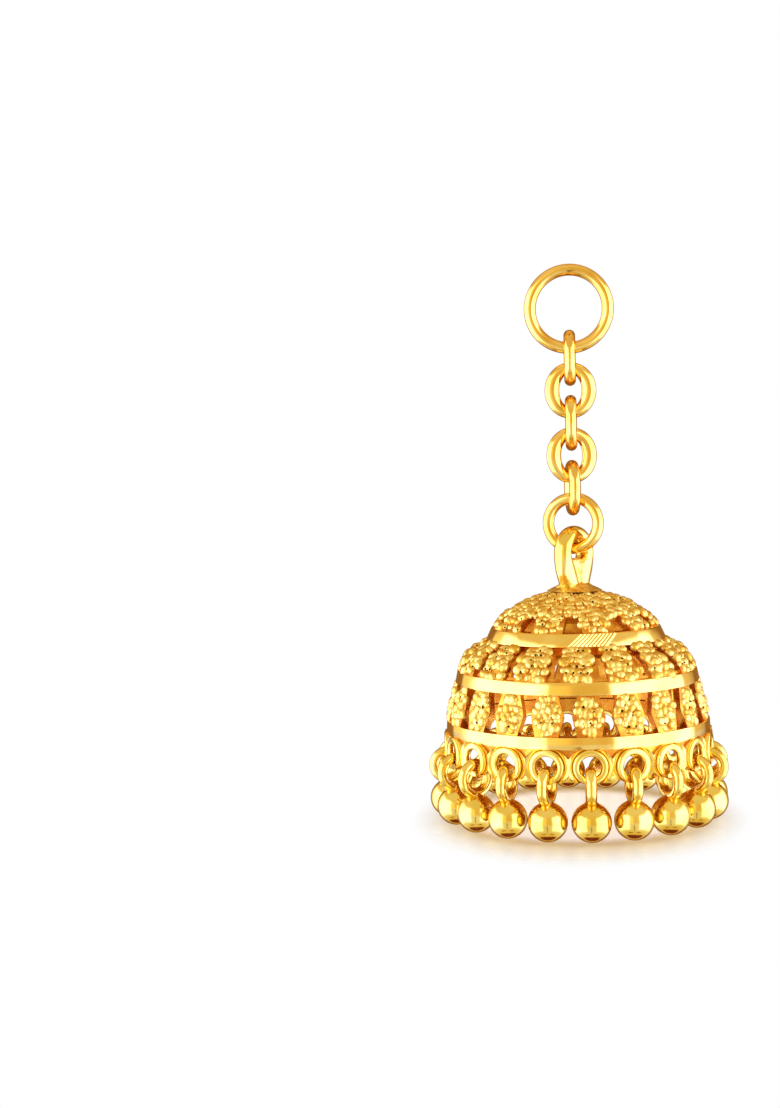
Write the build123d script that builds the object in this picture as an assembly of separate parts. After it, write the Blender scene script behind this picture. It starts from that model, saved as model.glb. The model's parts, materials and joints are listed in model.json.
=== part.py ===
from build123d import *
import math
import os

# Jhumka earring drop: a round top ring, a chain of five oval links, a jump ring and a pierced,
# bell-shaped dome with twenty ball drops hanging from the cast rings on its lower edge.
# Millimetres, +Z up. The origin is the inside top of the top ring, where the drop is hung.
# The front of the drop faces -Y, and azimuths are counted from the front towards +X.

# ---- driving dimensions -------------------------------------------------------------------
LINK_GAP = 0.05            # play left between two interlocked rings

TOP_RING_INNER_R = 2.60
TOP_RING_WIRE = 0.94

LINK_COUNT = 5
LINK_WIRE = 0.92
LINK_INNER_HEIGHT = 2.62
LINK_INNER_WIDTH = 2.12
LINK_TURNS = [90, 0, 90, 14, 98]       # turn of each link's plane about the vertical, in degrees

JUMP_RING_INNER_R = 1.56
JUMP_RING_WIRE = 0.90
JUMP_RING_TURN = -12       # turn of the jump ring's plane about the vertical, in degrees

BAIL_LIMB = 1.18           # thickness of the bail in its own plane
BAIL_WIDTH = 1.45          # thickness of the bail across its plane
BAIL_TOP_R = 1.60          # bend of the bail's middle line over the jump ring
BAIL_FOOT_R = 0.72         # and at its foot on the neck
BAIL_DROP = 2.26           # from the middle of the upper bend to the middle of the lower one
BAIL_PLAY = 0.18           # over the jump ring, because the bail crosses it at a slant
BAIL_TURN = 57             # turn of the bail's plane about the vertical, in degrees

# Depths of the bell are counted down from the pivot, the middle of the jump ring's lowest wire.
NECK_R, NECK_DEPTH = 1.15, 3.00
CAP_LINE = [(1.50, 3.43), (3.00, 4.03), (4.40, 4.48), (5.30, 5.03), (5.95, 5.63)]
BAND_COUNT_OF_FACETS = 26
BAND_FIRST_EDGE = 2.0      # azimuth of one facet edge
BANDS = {                  # name: (upper radius, upper depth, lower radius, lower depth)
    "collar": (6.42, 6.16, 7.08, 7.00),
    "belt": (9.50, 9.48, 9.70, 10.46),
    "rim": (10.44, 13.46, 10.50, 14.41),
}
BAND_THICKNESS = 0.85
ROW_1_MIDDLE = (8.60, 8.10)
WALL_INSET = 0.14          # the pierced walls lie this far inside the faces of the bands
WALL_THICKNESS = 0.60

CAP_GAPS, CAP_GAP_AZIMUTH = 10, -2.0
CAP_GAP_LENGTH, CAP_GAP_TOP, CAP_GAP_BOTTOM = 1.75, 1.05, 1.60
ROW_1_CELLS, ROW_1_SLOT_AZIMUTH = 16, 13.2
ROW_1_SLOT_WIDTH, ROW_1_SLOT_LENGTH = 0.60, 2.55
ROW_1_STRIP_WIDTH, ROW_1_STRIP_DEPTH = 0.50, 0.30
ROW_2_CELLS = 20
ROW_2_GAP_WAIST, ROW_2_GAP_END = 0.62, 1.45

BEAD_R, BEAD_SINK = 0.43, 0.12         # raised beads, and how far their middles lie in the wall
ROW_1_BEAD_COLUMNS = [0.265, 0.58]     # places across a cell, as shares of its width from its slot
ROW_1_BEAD_ROWS = [0.72, 1.76, 2.80]   # millimetres down the wall from the collar
ROW_2_BEADS = [(2, -0.80), (3, 0.0), (2, 0.80)]    # beads in a row, and its place down the wall
ROW_2_BEAD_PITCH = 0.90
CAP_BEADS = [(8, 1.55), (12, 2.65), (10, 4.15)]    # beads in a ring, and its place down the cap

DROP_COUNT, DROP_AZIMUTH = 20, 5.0
FRINGE_R = 10.40
FRINGE_RING_INNER_R, FRINGE_RING_WIRE = 0.80, 0.54
FRINGE_RING_DEPTH = 15.68
BRIDGE_WIDTH, BRIDGE_THICKNESS, BRIDGE_HEIGHT = 0.95, 0.42, 1.45

LOOP_INNER_R, LOOP_WIRE = 0.71, 0.82
BALL_R = 1.50
BALL_BELOW_LOOP = 2.66     # from the middle of a drop's loop to the middle of its ball
DROP_TURNS = [-4, -9, -11, -6, 4, -10, 14, 5, -22, 8, 0, 16, -6, 10, -14, 4, 6, -4, 9, -6]

# ---- sizes that follow from them ----------------------------------------------------------
LINK_PITCH = LINK_INNER_HEIGHT - LINK_GAP
FIRST_LINK_Z = -2 * TOP_RING_INNER_R + LINK_GAP - LINK_INNER_HEIGHT / 2
CHAIN_END_Z = FIRST_LINK_Z - (LINK_COUNT - 1) * LINK_PITCH - LINK_INNER_HEIGHT / 2
JUMP_RING_Z = CHAIN_END_Z + LINK_GAP - JUMP_RING_INNER_R
PIVOT_Z = JUMP_RING_Z - JUMP_RING_INNER_R - JUMP_RING_WIRE / 2
FRINGE_RING_R = FRINGE_RING_INNER_R + FRINGE_RING_WIRE / 2
LOOP_R = LOOP_INNER_R + LOOP_WIRE / 2
LOOP_DEPTH = FRINGE_RING_DEPTH + FRINGE_RING_INNER_R + LOOP_INNER_R - LINK_GAP


def at_azimuth(shape, azimuth):
    """Turn a shape that was built on the +X side to an azimuth counted from the front."""
    return Rot(0, 0, azimuth - 90) * shape


def ring(middle_r, wire):
    """A round ring of round wire that stands in the XZ plane."""
    return Rot(90, 0, 0) * Torus(middle_r, wire / 2)


def oval_ring(half_width, half_height, wire):
    """An oval ring of round wire that stands in the XZ plane."""
    path = Plane.XZ * Ellipse(half_width, half_height).wire()
    section = Plane(origin=(half_width, 0, 0), z_dir=(0, 0, 1)) * Circle(wire / 2)
    return sweep(section.face(), path=path)


def make_link(index):
    """One oval chain link, turned about the vertical."""
    half_width, half_height = (LINK_INNER_WIDTH + LINK_WIRE) / 2, (LINK_INNER_HEIGHT + LINK_WIRE) / 2
    link = oval_ring(half_width, half_height, LINK_WIRE)
    z = FIRST_LINK_Z - index * LINK_PITCH
    return Pos(0, 0, z) * Rot(0, 0, LINK_TURNS[index]) * link


def make_jump_ring():
    """The round ring between the chain and the bell."""
    jump_ring = ring(JUMP_RING_INNER_R + JUMP_RING_WIRE / 2, JUMP_RING_WIRE)
    return Pos(0, 0, JUMP_RING_Z) * Rot(0, 0, JUMP_RING_TURN) * jump_ring


def make_bail():
    """The egg-shaped bail on the bell's neck, from the pivot down."""
    taper = math.asin((BAIL_TOP_R - BAIL_FOOT_R) / BAIL_DROP)

    def on_bend(bend_r, angle, drop):
        return (bend_r * math.cos(angle), 0, bend_r * math.sin(angle) - drop)

    right_top, left_top = on_bend(BAIL_TOP_R, -taper, 0), on_bend(BAIL_TOP_R, math.pi + taper, 0)
    right_foot = on_bend(BAIL_FOOT_R, -taper, BAIL_DROP)
    left_foot = on_bend(BAIL_FOOT_R, math.pi + taper, BAIL_DROP)
    path = Wire([
        ThreePointArc(right_top, (0, 0, BAIL_TOP_R), left_top).edge(),
        Line(left_top, left_foot).edge(),
        ThreePointArc(left_foot, (0, 0, -BAIL_FOOT_R - BAIL_DROP), right_foot).edge(),
        Line(right_foot, right_top).edge(),
    ])
    start = Plane(origin=right_top, x_dir=(math.cos(taper), 0, -math.sin(taper)), z_dir=path % 0)
    bail = sweep((start * Ellipse(BAIL_LIMB / 2, BAIL_WIDTH / 2)).face(), path=path)
    inner_top = JUMP_RING_WIRE / 2 + BAIL_PLAY
    return Pos(0, 0, inner_top + BAIL_LIMB / 2 - BAIL_TOP_R) * Rot(0, 0, BAIL_TURN) * bail


def inset(line, distance):
    """Move a line of (radius, depth) points inwards, square to the line."""
    moved = []
    for i, (r, d) in enumerate(line):
        before, after = line[max(i - 1, 0)], line[min(i + 1, len(line) - 1)]
        run, drop = after[0] - before[0], after[1] - before[1]
        length = math.hypot(run, drop)
        moved.append((r - drop / length * distance, d + run / length * distance))
    return moved


def wall(line):
    """A wall of revolution under a line of (radius, depth) points."""
    outer = inset(line, WALL_INSET)
    inner = inset(line, WALL_INSET + WALL_THICKNESS)
    points = [(r, 0, -d) for r, d in outer + inner[::-1]]
    return revolve(make_face(Polyline(*points, close=True)), Axis.Z)


def band(upper_r, upper_depth, lower_r, lower_depth):
    """A plain band whose outside is cut in flat facets."""
    turn = BAND_FIRST_EDGE - 90
    lower = Pos(0, 0, -lower_depth) * Rot(0, 0, turn) * RegularPolygon(lower_r, BAND_COUNT_OF_FACETS)
    upper = Pos(0, 0, -upper_depth) * Rot(0, 0, turn) * RegularPolygon(upper_r, BAND_COUNT_OF_FACETS)
    height = lower_depth - upper_depth
    hollow = Cone(lower_r - BAND_THICKNESS, upper_r - BAND_THICKNESS, height)
    return loft([lower.face(), upper.face()]) - Pos(0, 0, -(upper_depth + lower_depth) / 2) * hollow


def wall_plane(upper, lower):
    """A plane on the +X side that lies on the wall between two (radius, depth) points."""
    run, drop = lower[0] - upper[0], lower[1] - upper[1]
    middle = ((upper[0] + lower[0]) / 2, 0, -(upper[1] + lower[1]) / 2)
    return Plane(origin=middle, x_dir=(0, 1, 0), z_dir=(drop, 0, run))


def piercer(plane, outline, depth=2.0):
    """A prism through the wall with an outline in the wall's plane."""
    return extrude(plane * make_face(Polyline(*outline, close=True)), depth, both=True)


def bead(line, along):
    """A raised bead on the +X side, at a distance down a wall's line."""
    for upper, lower in zip(line, line[1:]):
        length = math.dist(upper, lower)
        if along <= length:
            break
        along -= length
    plane = wall_plane(upper, lower)
    return plane * Pos(0, length / 2 - along, -WALL_INSET - BEAD_SINK) * Sphere(BEAD_R)


def cap_beads():
    """The rings of beads on the cap; the lowest ring stands between the gaps."""
    line = [(NECK_R, NECK_DEPTH)] + CAP_LINE + [BANDS["collar"][:2]]
    beads = []
    for count, along in CAP_BEADS:
        one = bead(line, along)
        first = CAP_GAP_AZIMUTH + 180 / CAP_GAPS
        beads += [at_azimuth(one, first + i * 360 / count) for i in range(count)]
    return beads


def cap_gaps():
    """The trapezoid gaps above the collar."""
    upper_r, upper_depth = BANDS["collar"][:2]
    plane = wall_plane(CAP_LINE[-3], (upper_r, upper_depth))
    low = -math.dist(CAP_LINE[-3], (upper_r, upper_depth)) / 2
    high = low + CAP_GAP_LENGTH
    top, bottom = CAP_GAP_TOP / 2, CAP_GAP_BOTTOM / 2
    gap = piercer(plane, [(-bottom, low), (bottom, low), (top, high), (-top, high)])
    step = 360 / CAP_GAPS
    return [at_azimuth(gap, CAP_GAP_AZIMUTH + i * step) for i in range(CAP_GAPS)]


def row_1_cuts():
    """The upright slots of the upper row, each with the plain sunk strip beside it."""
    plane = wall_plane(BANDS["collar"][2:], BANDS["belt"][:2])
    half = ROW_1_SLOT_LENGTH / 2
    side = ROW_1_SLOT_WIDTH / 2
    slot = piercer(plane, [(-side, -half), (side, -half), (side, half), (-side, half)])
    strip = Box(ROW_1_STRIP_WIDTH, ROW_1_SLOT_LENGTH, ROW_1_STRIP_DEPTH + 1)
    bulge = math.dist(ROW_1_MIDDLE, (plane.origin.X, -plane.origin.Z))
    lift = bulge - WALL_INSET - ROW_1_STRIP_DEPTH + (ROW_1_STRIP_DEPTH + 1) / 2
    strip = plane * Pos(-side - ROW_1_STRIP_WIDTH / 2, 0, lift) * strip
    step = 360 / ROW_1_CELLS
    azimuths = [ROW_1_SLOT_AZIMUTH + i * step for i in range(ROW_1_CELLS)]
    return [at_azimuth(cut, azimuth) for azimuth in azimuths for cut in (slot, strip)]


def row_1_beads():
    """The raised beads on the cells of the upper row."""
    line = [BANDS["collar"][2:], ROW_1_MIDDLE, BANDS["belt"][:2]]
    places = [i + share for i in range(ROW_1_CELLS) for share in ROW_1_BEAD_COLUMNS]
    azimuths = [ROW_1_SLOT_AZIMUTH + place * 360 / ROW_1_CELLS for place in places]
    return [at_azimuth(bead(line, along), azimuth) for along in ROW_1_BEAD_ROWS for azimuth in azimuths]


def row_2_beads():
    """The raised beads on the clusters of the lower row."""
    line = [BANDS["belt"][2:], BANDS["rim"][:2]]
    step = 360 / ROW_2_CELLS
    beads = []
    for count, offset in ROW_2_BEADS:
        one = bead(line, math.dist(*line) / 2 + offset)
        wide = math.degrees(ROW_2_BEAD_PITCH / one.center().X)
        turns = [(j - (count - 1) / 2) * wide for j in range(count)]
        beads += [at_azimuth(one, DROP_AZIMUTH + i * step + turn) for i in range(ROW_2_CELLS) for turn in turns]
    return beads


def row_2_gaps():
    """The waisted gaps between the six-sided clusters of the lower row."""
    plane = wall_plane(BANDS["belt"][2:], BANDS["rim"][:2])
    half = (BANDS["rim"][1] - BANDS["belt"][3]) / 2
    end, waist = ROW_2_GAP_END / 2, ROW_2_GAP_WAIST / 2
    outline = [(-end, -half), (end, -half), (waist, 0), (end, half), (-end, half), (-waist, 0)]
    gap = piercer(plane, outline)
    step = 360 / ROW_2_CELLS
    return [at_azimuth(gap, DROP_AZIMUTH + (i + 0.5) * step) for i in range(ROW_2_CELLS)]


def make_fringe():
    """The cast rings under the rim and the bridges that join them."""
    loop = Pos(FRINGE_R, 0, -FRINGE_RING_DEPTH) * Rot(0, 0, 90) * ring(FRINGE_RING_R, FRINGE_RING_WIRE)
    bridge = Pos(FRINGE_R, 0, -FRINGE_RING_DEPTH) * Box(BRIDGE_THICKNESS, BRIDGE_WIDTH, BRIDGE_HEIGHT)
    step = 360 / DROP_COUNT
    loops = [at_azimuth(loop, DROP_AZIMUTH + i * step) for i in range(DROP_COUNT)]
    bridges = [at_azimuth(bridge, DROP_AZIMUTH + (i + 0.5) * step) for i in range(DROP_COUNT)]
    return loops + bridges


def make_bell():
    """The cast bell with its bail, neck, pierced walls, faceted bands and fringe rings."""
    collar, belt, rim = BANDS["collar"], BANDS["belt"], BANDS["rim"]

    def middle(sizes):
        return ((sizes[0] + sizes[2]) / 2, (sizes[1] + sizes[3]) / 2)

    cap = wall([(NECK_R, NECK_DEPTH)] + CAP_LINE + [collar[:2], middle(collar)])
    cap = cap.cut(*cap_gaps()).fuse(*cap_beads())
    row_1 = wall([middle(collar), collar[2:], ROW_1_MIDDLE, belt[:2], middle(belt)])
    row_1 = row_1.cut(*row_1_cuts()).fuse(*row_1_beads())
    row_2 = wall([middle(belt), belt[2:], rim[:2], middle(rim)])
    row_2 = row_2.cut(*row_2_gaps()).fuse(*row_2_beads())
    neck = Pos(0, 0, -NECK_DEPTH - 0.35) * Cylinder(NECK_R + 0.1, 1.5)
    pieces = [row_1, row_2, neck, make_bail()] + [band(*sizes) for sizes in BANDS.values()]
    return Pos(0, 0, PIVOT_Z) * cap.fuse(*pieces, *make_fringe())


def make_drop(index):
    """One ball drop: a loop through its fringe ring with a ball soldered below it."""
    loop = Rot(0, 0, DROP_TURNS[index]) * ring(LOOP_R, LOOP_WIRE)
    drop = loop + Pos(0, 0, -BALL_BELOW_LOOP) * Sphere(BALL_R)
    placed = Pos(FRINGE_R, 0, PIVOT_Z - LOOP_DEPTH) * drop
    return at_azimuth(placed, DROP_AZIMUTH + index * 360 / DROP_COUNT)


def write(shape, node):
    """Save one node's solid."""
    export_step(shape, f"parts/{node}.step")


os.makedirs("parts", exist_ok=True)
write(Pos(0, 0, -TOP_RING_INNER_R) * ring(TOP_RING_INNER_R + TOP_RING_WIRE / 2, TOP_RING_WIRE), "top_ring")
for number in range(LINK_COUNT):
    write(make_link(number), f"chain_link_{number + 1}")
write(make_jump_ring(), "jump_ring")
write(make_bell(), "bell")
for number in range(DROP_COUNT):
    write(make_drop(number), f"bell_drop_{number + 1:02d}")
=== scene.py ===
"""Jhumka drop earring in polished yellow gold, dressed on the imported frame.

The drop hangs from a round top ring on a chain of oval links. A jump ring carries the cast bell, whose
pierced and granulated walls sit between three diamond-cut bands, with twenty ball drops on its fringe.

Sizes are in millimetres, +Z up, until a mesh is made. The front faces -Y. Azimuths are in degrees,
counted from the front towards +X. Depths on the bell are counted down from the pivot of its bail.
"""

import json
import logging
import math
from dataclasses import dataclass, field
from enum import Enum
from typing import Any, Sequence

import bpy
import numpy as np
from mathutils import Matrix, Vector

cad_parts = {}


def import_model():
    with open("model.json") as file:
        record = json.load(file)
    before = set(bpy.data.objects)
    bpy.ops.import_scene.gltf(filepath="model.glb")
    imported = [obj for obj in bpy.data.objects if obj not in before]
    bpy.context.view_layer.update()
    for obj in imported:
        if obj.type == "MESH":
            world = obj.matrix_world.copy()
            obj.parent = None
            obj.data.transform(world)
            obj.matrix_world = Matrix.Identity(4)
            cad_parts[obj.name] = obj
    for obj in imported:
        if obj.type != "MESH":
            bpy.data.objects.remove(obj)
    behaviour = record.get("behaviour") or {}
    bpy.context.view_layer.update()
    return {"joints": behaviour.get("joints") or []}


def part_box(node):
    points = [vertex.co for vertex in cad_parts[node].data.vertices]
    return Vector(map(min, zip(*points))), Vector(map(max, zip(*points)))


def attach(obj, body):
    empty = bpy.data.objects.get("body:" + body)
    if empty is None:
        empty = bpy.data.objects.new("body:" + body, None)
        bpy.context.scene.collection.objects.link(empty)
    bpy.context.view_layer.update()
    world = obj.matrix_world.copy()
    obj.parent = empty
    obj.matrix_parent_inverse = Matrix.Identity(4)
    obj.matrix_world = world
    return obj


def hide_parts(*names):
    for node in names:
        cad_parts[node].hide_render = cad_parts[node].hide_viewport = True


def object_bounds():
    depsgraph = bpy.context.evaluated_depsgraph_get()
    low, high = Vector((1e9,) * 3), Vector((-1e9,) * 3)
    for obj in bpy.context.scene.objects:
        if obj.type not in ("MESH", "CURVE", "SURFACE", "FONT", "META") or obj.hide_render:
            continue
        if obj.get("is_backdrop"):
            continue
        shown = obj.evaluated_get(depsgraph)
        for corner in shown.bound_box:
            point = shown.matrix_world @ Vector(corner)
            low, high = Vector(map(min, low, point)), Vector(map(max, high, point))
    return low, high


MM = 0.001
SHARP_ANGLE = 38.0  # degrees between two faces from which their edge stays sharp
MIX_SHARE, MIX_UNDER, MIX_OVER, MIX_RESULT = 0, 6, 7, 2  # sockets of a Mix node that mixes colours
LOG = logging.getLogger("jhumka")

Face = tuple[int, ...]
Pair = tuple[float, float]
Triple = tuple[float, float, float]
Places = float | np.ndarray  # one place or several


class Body(Enum):
    """The two bodies that the pieces ride on."""

    CHAIN = "chain"
    BELL = "bell"


class Shade(Enum):
    """How the faces of a shell catch the light."""

    FLAT = False
    SMOOTH = True


def linear(colour: str) -> tuple[float, float, float, float]:
    """Turn an sRGB hex colour into linear values.

    Args:
        colour: Six hex digits after a hash sign.

    Returns:
        Linear red, green and blue with an alpha of one.
    """
    channels = [int(colour[i : i + 2], 16) / 255 for i in (1, 3, 5)]
    values = [c / 12.92 if c <= 0.04045 else ((c + 0.055) / 1.055) ** 2.4 for c in channels]
    return (values[0], values[1], values[2], 1.0)


def add_node(
    tree: bpy.types.NodeTree,
    kind: str,
    inputs: dict[str | int, Any] | None = None,
    **settings: Any,
) -> bpy.types.Node:
    """Add one node with its settings and links.

    Args:
        tree: The node tree that takes the node.
        kind: The node's Blender type name, without its ShaderNode prefix.
        inputs: For each input's name or number, its value or the output socket that feeds it.
        **settings: Properties of the node itself.

    Returns:
        The new node.
    """
    made = tree.nodes.new("ShaderNode" + kind)
    for name, value in settings.items():
        setattr(made, name, value)
    for key, value in (inputs or {}).items():
        if isinstance(value, bpy.types.NodeSocket):
            tree.links.new(value, made.inputs[key])
        else:
            made.inputs[key].default_value = value
    return made


def blank_material(name: str) -> bpy.types.Material:
    """Make a material with an empty node tree.

    Args:
        name: Its name.

    Returns:
        The material.
    """
    made = bpy.data.materials.new(name)
    made.use_nodes = True
    made.node_tree.nodes.clear()
    return made


# ---- finishes -----------------------------------------------------------------------------------


@dataclass(frozen=True)
class GoldFinish:
    """Yellow gold plate on cast or drawn brass, as one surface treatment leaves it."""

    name: str
    colour: str
    deep_colour: str  # the tone in the slow patches where the plate is thicker
    roughness: float
    roughness_spread: float
    grain_mm: float  # size of the marks that the treatment leaves
    grain_height_mm: float
    patch_mm: float = 2.5
    patch_edges: Pair = (0.36, 0.64)  # of the noise, where a patch starts and where it is full
    grain_ends: Pair = (0.3, 0.7)  # of the noise, where the grain is smoothest and where it is roughest

    def material(self) -> bpy.types.Material:
        """Make the finish's material.

        Returns:
            A metal whose tone, roughness and bump vary with noise of real size.
        """
        made = blank_material(self.name)
        tree = made.node_tree
        place = add_node(tree, "TexCoord").outputs["Object"]
        noise = {"Vector": place, "Scale": 1 / (self.patch_mm * MM), "Detail": 2.0}
        patches = add_node(tree, "TexNoise", noise).outputs["Fac"]
        noise = {"Vector": place, "Scale": 1 / (self.grain_mm * MM), "Detail": 3.0}
        grain = add_node(tree, "TexNoise", noise).outputs["Fac"]
        ends = {"Value": patches, "From Min": self.patch_edges[0], "From Max": self.patch_edges[1]}
        share = add_node(tree, "MapRange", ends, interpolation_type="SMOOTHSTEP").outputs["Result"]
        tones = {MIX_SHARE: share, MIX_UNDER: linear(self.colour), MIX_OVER: linear(self.deep_colour)}
        tone = add_node(tree, "Mix", tones, data_type="RGBA").outputs[MIX_RESULT]
        ends = {
            "Value": grain,
            "From Min": self.grain_ends[0],
            "From Max": self.grain_ends[1],
            "To Min": self.roughness - self.roughness_spread,
            "To Max": self.roughness + self.roughness_spread,
        }
        rough = add_node(tree, "MapRange", ends).outputs["Result"]
        height = {"Height": grain, "Distance": self.grain_height_mm * MM, "Strength": 1.0}
        bump = add_node(tree, "Bump", height).outputs["Normal"]
        skin = {"Base Color": tone, "Metallic": 1.0, "Roughness": rough, "Normal": bump}
        metal = add_node(tree, "BsdfPrincipled", skin).outputs["BSDF"]
        add_node(tree, "OutputMaterial", {"Surface": metal})
        return made


@dataclass(frozen=True)
class PinholeShadeFinish:
    """Painted shade for the pinholes between granules: a dull dark dot that stands for the shade in each."""

    name: str
    colour: str
    deep_colour: str
    roughness: float
    speck_mm: float

    def material(self) -> bpy.types.Material:
        """Make the material of the painted pinhole shade.

        Returns:
            A dull dark material with fine specks.
        """
        made = blank_material(self.name)
        tree = made.node_tree
        place = add_node(tree, "TexCoord").outputs["Object"]
        noise = {"Vector": place, "Scale": 1 / (self.speck_mm * MM)}
        specks = add_node(tree, "TexNoise", noise).outputs["Fac"]
        tones = {MIX_SHARE: specks, MIX_UNDER: linear(self.colour), MIX_OVER: linear(self.deep_colour)}
        tone = add_node(tree, "Mix", tones, data_type="RGBA").outputs[MIX_RESULT]
        skin = {"Base Color": tone, "Roughness": self.roughness, "Specular IOR Level": 0.0}
        dull = add_node(tree, "BsdfPrincipled", skin).outputs["BSDF"]
        add_node(tree, "OutputMaterial", {"Surface": dull})
        return made


class Coat(Enum):
    """The finishes that the pieces wear."""

    # A milling tool leaves mirror-flat facets, so each one takes a single clean reflection. Its marks are
    # a few hundredths of a millimetre apart, and are drawn coarser so that they show.
    DIAMOND_CUT = GoldFinish("diamond_cut_gold", "#F3C968", "#EBBC57", 0.13, 0.04, 0.45, 0.0012)
    # Tumbling in a barrel rounds and shines the casting, the loops and the balls, and leaves faint ripples
    # in the plate, which are drawn coarser so that they show.
    BARREL_POLISHED = GoldFinish("barrel_polished_gold", "#F1CC66", "#E7BE4F", 0.16, 0.05, 0.30, 0.0008)
    # The die leaves drawn wire smooth along its length, so a link shows crisp lines of light.
    DRAWN_WIRE = GoldFinish("drawn_wire_gold", "#EFC261", "#E1AC46", 0.10, 0.04, 0.30, 0.0008)
    # Cast granules are plated over the skin of the casting: bright on the crowns and a little uneven.
    CAST_GRANULES = GoldFinish("cast_granule_gold", "#F0D272", "#D6A137", 0.38, 0.09, 0.15, 0.022, 0.55)
    # The polish doesn't reach the cast ground between and behind the granules, which stays dull. Its deep
    # orange is partly its own and partly painted shade, for the strips, webs, linings and inner walls that
    # lie in shadow.
    CAST_GROUND = GoldFinish("cast_ground_painted_shade_gold", "#E8A438", "#C87822", 0.30, 0.08, 0.12, 0.008, 1.2)
    # Painted shade for the pinholes: a dull dark material with no shine at all, so a pinhole stays dark from
    # every side.
    RESIDUE = PinholeShadeFinish("painted_pinhole_shade", "#1C0E02", "#3A1E04", 1.0, 0.05)


Coats = dict[Coat, bpy.types.Material]


# ---- mesh making --------------------------------------------------------------------------------


@dataclass
class Shell:
    """The closed surfaces of one piece, in millimetres, before they become a mesh."""

    coats: Coats
    points: list[np.ndarray] = field(default_factory=list)
    faces: list[Face] = field(default_factory=list)
    face_coats: list[Coat] = field(default_factory=list)
    face_shades: list[bool] = field(default_factory=list)
    count: int = 0

    def add(
        self,
        points: np.ndarray,
        faces: Sequence[Face],
        coat: Coat,
        shade: Shade = Shade.SMOOTH,
    ) -> None:
        """Take in one closed surface.

        Args:
            points: One row of x, y and z for each corner.
            faces: Corner numbers of each face, outward by the right-hand rule.
            coat: The finish that the faces wear.
            shade: Whether the faces are shaded flat or smooth.
        """
        self.points.append(np.asarray(points, float))
        self.faces.extend(tuple(i + self.count for i in face) for face in faces)
        self.face_coats.extend([coat] * len(faces))
        self.face_shades.extend([shade.value] * len(faces))
        self.count += len(points)

    def loft(
        self,
        sections: np.ndarray,
        coat: Coat,
        closed: bool = False,
        shade: Shade = Shade.SMOOTH,
    ) -> None:
        """Skin a row of closed sections, and cap the ends if the row is open.

        Args:
            sections: Sections by corners by x, y and z.
            coat: The finish that the skin wears.
            closed: Whether the last section joins the first.
            shade: Whether the faces are shaded flat or smooth.
        """
        rows, corners = sections.shape[:2]
        faces: list[Face] = []
        for i in range(rows if closed else rows - 1):
            here, there = i * corners, (i + 1) % rows * corners
            for j in range(corners):
                k = (j + 1) % corners
                faces.append((here + j, here + k, there + k, there + j))
        if not closed:
            faces.append(tuple(range(corners))[::-1])
            faces.append(tuple((rows - 1) * corners + j for j in range(corners)))
        self.add(sections.reshape(-1, 3), faces, coat, shade)

    def piece(self, name: str, body: Body, origin: Vector, *stands_for: str) -> bpy.types.Object:
        """Turn the shell into a Blender object that rides on its body.

        Args:
            name: The new piece's name.
            body: The body that it moves with.
            origin: Where the shell's own zero lies, in metres.
            *stands_for: The frame's nodes that the piece replaces.

        Returns:
            The new object.
        """
        mesh = bpy.data.meshes.new(name)
        points = np.concatenate(self.points) * MM + np.array(origin)
        mesh.from_pydata(points.tolist(), [], self.faces)
        worn = list(dict.fromkeys(self.face_coats))
        for coat in worn:
            mesh.materials.append(self.coats[coat])
        mesh.polygons.foreach_set("material_index", [worn.index(coat) for coat in self.face_coats])
        mesh.polygons.foreach_set("use_smooth", self.face_shades)
        mesh.validate()
        mesh.set_sharp_from_angle(angle=math.radians(SHARP_ANGLE))
        made = bpy.data.objects.new(name, mesh)
        bpy.context.scene.collection.objects.link(made)
        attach(made, body.value)
        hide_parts(*stands_for)
        return made


def turned(points: np.ndarray, angle: float) -> np.ndarray:
    """Turn points about the vertical.

    Args:
        points: Rows of x, y and z.
        angle: The turn in degrees, by the right-hand rule about +Z.

    Returns:
        The turned points.
    """
    turn = math.radians(angle)
    spin = np.array([[math.cos(turn), -math.sin(turn), 0], [math.sin(turn), math.cos(turn), 0], [0, 0, 1]])
    return points @ spin.T


def upright(outline: Sequence[Pair], azimuth: float) -> np.ndarray:
    """Stand an outline upright at one place round the bell.

    Args:
        outline: Radius and depth of each corner.
        azimuth: Where it stands.

    Returns:
        Rows of x, y and z.
    """
    angle = math.radians(azimuth)
    sine, cosine = math.sin(angle), math.cos(angle)
    return np.array([(radius * sine, -radius * cosine, -depth) for radius, depth in outline])


def bent_wire(line: np.ndarray, radial: np.ndarray, axial: float, sides: int) -> np.ndarray:
    """Sweep an oval section round a closed line in the XZ plane.

    Args:
        line: Rows of x and z along the middle of the wire.
        radial: Half thickness of the wire in the plane, at each point of the line.
        axial: Half thickness of the wire across the plane.
        sides: Corners of each section.

    Returns:
        Sections by corners by x, y and z.
    """
    along = np.roll(line, -1, 0) - np.roll(line, 1, 0)
    along /= np.linalg.norm(along, axis=1)[:, None]
    outward = np.stack([along[:, 1], -along[:, 0]], 1)
    angles = np.linspace(0, 2 * math.pi, sides, endpoint=False)
    flat = line[:, None, :] + outward[:, None, :] * (radial[:, None] * np.cos(angles)[None, :])[..., None]
    depth = np.broadcast_to(axial * np.sin(angles), flat.shape[:2])
    return np.stack([flat[..., 0], depth, flat[..., 1]], -1)


def oval(half_width: float, half_height: float, steps: int) -> np.ndarray:
    """Work out the points of an oval in the XZ plane.

    Args:
        half_width: Half its size along X.
        half_height: Half its size along Z.
        steps: How many points it has.

    Returns:
        Rows of x and z.
    """
    angles = np.linspace(0, 2 * math.pi, steps, endpoint=False)
    return np.stack([half_width * np.cos(angles), half_height * np.sin(angles)], 1)


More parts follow.
